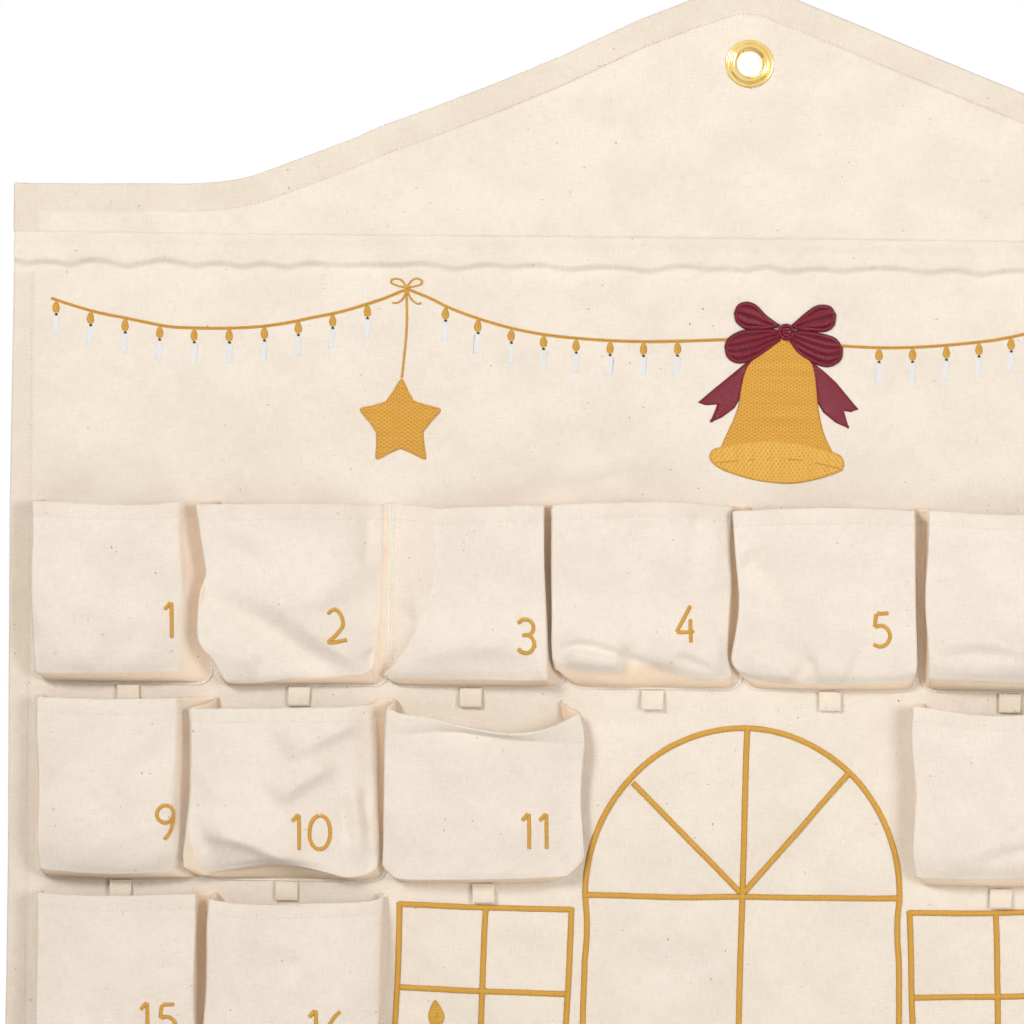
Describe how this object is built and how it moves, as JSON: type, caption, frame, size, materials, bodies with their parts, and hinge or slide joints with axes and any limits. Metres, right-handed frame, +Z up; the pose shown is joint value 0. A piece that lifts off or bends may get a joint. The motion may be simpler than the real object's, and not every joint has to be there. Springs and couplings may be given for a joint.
{
  "type": "advent calendar",
  "caption": "Canvas wall advent calendar shaped like a house front, with numbered boxed pockets, tape loops, gold embroidery, a rod in a sleeve and a brass hanging eyelet.",
  "frame": {"origin": "centre of the hanging eyelet's hole, in the middle plane of the canvas", "axes": "+X to the viewer's right, +Z up, front towards -Y and the wall on +Y"},
  "size_m": [0.88, 0.0395, 0.8007],
  "materials": {
    "canvas": "unbleached cotton canvas with seed flecks",
    "gold_thread": "satin embroidery thread",
    "red_thread": "satin embroidery thread",
    "brass": "polished",
    "wood": "sanded, unpainted"
  },
  "bodies": {
    "calendar": {"roof_panel": "canvas", "body_panel": "canvas", "rod_sleeve": "canvas", "eyelet": "brass", "eyelet_washer": "brass", "pocket_01": "canvas", "pocket_02": "canvas", "pocket_03": "canvas", "pocket_04": "canvas", "pocket_05": "canvas", "pocket_06": "canvas", "pocket_07": "canvas", "pocket_08": "canvas", "pocket_09": "canvas", "pocket_10": "canvas", "pocket_11": "canvas", "pocket_12": "canvas", "pocket_13": "canvas", "pocket_14": "canvas", "pocket_15": "canvas", "pocket_16": "canvas", "pocket_17": "canvas", "pocket_18": "canvas", "pocket_19": "canvas", "pocket_20": "canvas", "pocket_21": "canvas", "pocket_22": "canvas", "pocket_23": "canvas", "pocket_24": "canvas", "garland": "gold_thread", "bell": "gold_thread", "bow": "red_thread", "arched_window": "gold_thread", "square_window_left": "gold_thread", "square_window_right": "gold_thread"},
    "rod": {"wooden_rod": "wood"},
    "loop_01": {"tape_loop_01": "canvas"},
    "loop_02": {"tape_loop_02": "canvas"},
    "loop_03": {"tape_loop_03": "canvas"},
    "loop_04": {"tape_loop_04": "canvas"},
    "loop_05": {"tape_loop_05": "canvas"},
    "loop_06": {"tape_loop_06": "canvas"},
    "loop_07": {"tape_loop_07": "canvas"},
    "loop_08": {"tape_loop_08": "canvas"},
    "loop_09": {"tape_loop_09": "canvas"},
    "loop_10": {"tape_loop_10": "canvas"},
    "loop_11": {"tape_loop_11": "canvas"},
    "loop_12": {"tape_loop_12": "canvas"},
    "loop_13": {"tape_loop_13": "canvas"},
    "loop_14": {"tape_loop_14": "canvas"},
    "loop_15": {"tape_loop_15": "canvas"},
    "loop_16": {"tape_loop_16": "canvas"},
    "loop_17": {"tape_loop_17": "canvas"},
    "loop_18": {"tape_loop_18": "canvas"},
    "loop_19": {"tape_loop_19": "canvas"},
    "loop_20": {"tape_loop_20": "canvas"},
    "loop_21": {"tape_loop_21": "canvas"},
    "loop_22": {"tape_loop_22": "canvas"},
    "loop_23": {"tape_loop_23": "canvas"},
    "loop_24": {"tape_loop_24": "canvas"}
  },
  "joints": [
    {"name": "rod_slide", "type": "slide", "parent": "calendar", "child": "rod", "axis": [1, 0, 0], "range_m": [-0.87, 0.87]},
    {"name": "loop_01_swing", "type": "hinge", "parent": "calendar", "child": "loop_01", "pos_m": [-0.36888, -0.0024, -0.3768], "axis": [-1, 0, 0], "range_deg": [0, 75]},
    {"name": "loop_02_swing", "type": "hinge", "parent": "calendar", "child": "loop_02", "pos_m": [-0.26606, -0.0024, -0.3768], "axis": [-1, 0, 0], "range_deg": [0, 75]},
    {"name": "loop_03_swing", "type": "hinge", "parent": "calendar", "child": "loop_03", "pos_m": [-0.16324, -0.0024, -0.3768], "axis": [-1, 0, 0], "range_deg": [0, 75]},
    {"name": "loop_04_swing", "type": "hinge", "parent": "calendar", "child": "loop_04", "pos_m": [-0.05406, -0.0024, -0.3768], "axis": [-1, 0, 0], "range_deg": [0, 75]},
    {"name": "loop_05_swing", "type": "hinge", "parent": "calendar", "child": "loop_05", "pos_m": [0.05194, -0.0024, -0.3768], "axis": [-1, 0, 0], "range_deg": [0, 75]},
    {"name": "loop_06_swing", "type": "hinge", "parent": "calendar", "child": "loop_06", "pos_m": [0.16006, -0.0024, -0.3768], "axis": [-1, 0, 0], "range_deg": [0, 75]},
    {"name": "loop_07_swing", "type": "hinge", "parent": "calendar", "child": "loop_07", "pos_m": [0.26288, -0.0024, -0.3768], "axis": [-1, 0, 0], "range_deg": [0, 75]},
    {"name": "loop_08_swing", "type": "hinge", "parent": "calendar", "child": "loop_08", "pos_m": [0.37418, -0.0024, -0.3768], "axis": [-1, 0, 0], "range_deg": [0, 75]},
    {"name": "loop_09_swing", "type": "hinge", "parent": "calendar", "child": "loop_09", "pos_m": [-0.37206, -0.0024, -0.4938], "axis": [-1, 0, 0], "range_deg": [0, 75]},
    {"name": "loop_10_swing", "type": "hinge", "parent": "calendar", "child": "loop_10", "pos_m": [-0.27242, -0.0024, -0.4938], "axis": [-1, 0, 0], "range_deg": [0, 75]},
    {"name": "loop_11_swing", "type": "hinge", "parent": "calendar", "child": "loop_11", "pos_m": [-0.15476, -0.0024, -0.4938], "axis": [-1, 0, 0], "range_deg": [0, 75]},
    {"name": "loop_12_swing", "type": "hinge", "parent": "calendar", "child": "loop_12", "pos_m": [0.15582, -0.0024, -0.4938], "axis": [-1, 0, 0], "range_deg": [0, 75]},
    {"name": "loop_13_swing", "type": "hinge", "parent": "calendar", "child": "loop_13", "pos_m": [0.26712, -0.0024, -0.4938], "axis": [-1, 0, 0], "range_deg": [0, 75]},
    {"name": "loop_14_swing", "type": "hinge", "parent": "calendar", "child": "loop_14", "pos_m": [0.371, -0.0024, -0.4938], "axis": [-1, 0, 0], "range_deg": [0, 75]},
    {"name": "loop_15_swing", "type": "hinge", "parent": "calendar", "child": "loop_15", "pos_m": [-0.36994, -0.0024, -0.6108], "axis": [-1, 0, 0], "range_deg": [0, 75]},
    {"name": "loop_16_swing", "type": "hinge", "parent": "calendar", "child": "loop_16", "pos_m": [-0.26712, -0.0024, -0.6108], "axis": [-1, 0, 0], "range_deg": [0, 75]},
    {"name": "loop_17_swing", "type": "hinge", "parent": "calendar", "child": "loop_17", "pos_m": [0.26818, -0.0024, -0.6108], "axis": [-1, 0, 0], "range_deg": [0, 75]},
    {"name": "loop_18_swing", "type": "hinge", "parent": "calendar", "child": "loop_18", "pos_m": [0.36994, -0.0024, -0.6108], "axis": [-1, 0, 0], "range_deg": [0, 75]},
    {"name": "loop_19_swing", "type": "hinge", "parent": "calendar", "child": "loop_19", "pos_m": [-0.371, -0.0024, -0.7278], "axis": [-1, 0, 0], "range_deg": [0, 75]},
    {"name": "loop_20_swing", "type": "hinge", "parent": "calendar", "child": "loop_20", "pos_m": [-0.26288, -0.0024, -0.7278], "axis": [-1, 0, 0], "range_deg": [0, 75]},
    {"name": "loop_21_swing", "type": "hinge", "parent": "calendar", "child": "loop_21", "pos_m": [-0.16218, -0.0024, -0.7278], "axis": [-1, 0, 0], "range_deg": [0, 75]},
    {"name": "loop_22_swing", "type": "hinge", "parent": "calendar", "child": "loop_22", "pos_m": [0.16006, -0.0024, -0.7278], "axis": [-1, 0, 0], "range_deg": [0, 75]},
    {"name": "loop_23_swing", "type": "hinge", "parent": "calendar", "child": "loop_23", "pos_m": [0.26394, -0.0024, -0.7278], "axis": [-1, 0, 0], "range_deg": [0, 75]},
    {"name": "loop_24_swing", "type": "hinge", "parent": "calendar", "child": "loop_24", "pos_m": [0.37312, -0.0024, -0.7278], "axis": [-1, 0, 0], "range_deg": [0, 75]}
  ]
}
